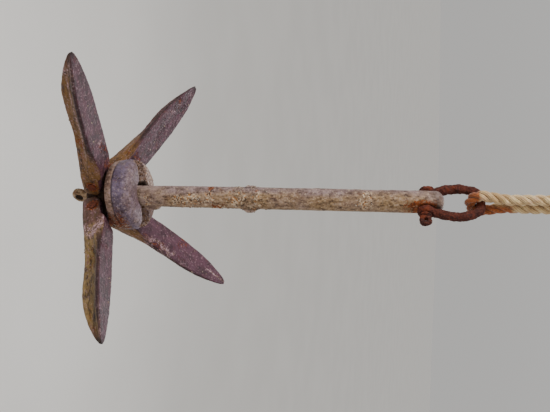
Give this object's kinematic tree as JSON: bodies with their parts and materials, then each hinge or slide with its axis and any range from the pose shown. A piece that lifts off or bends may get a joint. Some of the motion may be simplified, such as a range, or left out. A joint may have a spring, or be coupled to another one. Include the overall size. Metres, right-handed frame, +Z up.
{
  "type": "folding grapnel anchor",
  "caption": "Weathered folding grapnel anchor with hinged pointed flukes, a sliding locking collar and a rusted shackle, hanging from a doubled rope with a knot and loop.",
  "frame": {"origin": "inside top of the rope's end loop, where a hook bears, 474 mm above the plane of the fluke pins", "axes": "+Z up along the shank towards the rope, +X along the shackle pin towards its eye and fluke_right, -Y towards fluke_front"},
  "size_m": [0.3194, 0.3053, 0.5186],
  "materials": {
    "scaled_zinc": "dull old zinc with ochre and cream lime scale, dark specks and rust stains",
    "grey_zinc": "purple-grey oxidised zinc with olive and tan patches, rust at its edges and pale flecks of scale",
    "red_rust": "bare red-brown rust",
    "dark_rust": "heavy dark maroon rust, pitted and flaking",
    "rope_fibre": "off-white three-strand rope, stained orange-brown by rust where it meets the shackle"
  },
  "bodies": {
    "hanger": {"shackle_bow": "dark_rust", "shackle_pin": "dark_rust", "rope": "rope_fibre", "rope_knot": "rope_fibre", "rope_end_loop": "rope_fibre"},
    "shank": {"shank": "scaled_zinc"},
    "collar": {"collar": "grey_zinc"},
    "fluke_front": {"fluke_front": "grey_zinc", "rivet_front": "red_rust"},
    "fluke_right": {"fluke_right": "grey_zinc", "rivet_right": "red_rust"},
    "fluke_back": {"fluke_back": "grey_zinc", "rivet_back": "red_rust"},
    "fluke_left": {"fluke_left": "grey_zinc", "rivet_left": "red_rust"}
  },
  "joints": [
    {"name": "anchor_swing", "type": "hinge", "parent": "hanger", "child": "shank", "pos_m": [0, 0, -0.172], "axis": [1, 0, 0], "range_deg": [-105, 105]},
    {"name": "collar_slide", "type": "slide", "parent": "shank", "child": "collar", "axis": [0, 0, 1], "range_m": [0, 0.238]},
    {"name": "fluke_front_fold", "type": "hinge", "parent": "shank", "child": "fluke_front", "pos_m": [0, -0.0243, -0.474], "axis": [-1, 0, 0], "range_deg": [0, 77.3]},
    {"name": "fluke_right_fold", "type": "hinge", "parent": "shank", "child": "fluke_right", "pos_m": [0.0243, 0, -0.474], "axis": [0, -1, 0], "range_deg": [0, 68.4]},
    {"name": "fluke_back_fold", "type": "hinge", "parent": "shank", "child": "fluke_back", "pos_m": [0, 0.0243, -0.474], "axis": [1, 0, 0], "range_deg": [0, 52.9]},
    {"name": "fluke_left_fold", "type": "hinge", "parent": "shank", "child": "fluke_left", "pos_m": [-0.0243, 0, -0.474], "axis": [0, 1, 0], "range_deg": [0, 70.3]}
  ],
  "couplings": [
    {"joint": "fluke_front_fold", "follows": "collar_slide", "rad_per_m": 5.668},
    {"joint": "fluke_right_fold", "follows": "collar_slide", "rad_per_m": 5.015},
    {"joint": "fluke_back_fold", "follows": "collar_slide", "rad_per_m": 3.879},
    {"joint": "fluke_left_fold", "follows": "collar_slide", "rad_per_m": 5.155}
  ]
}
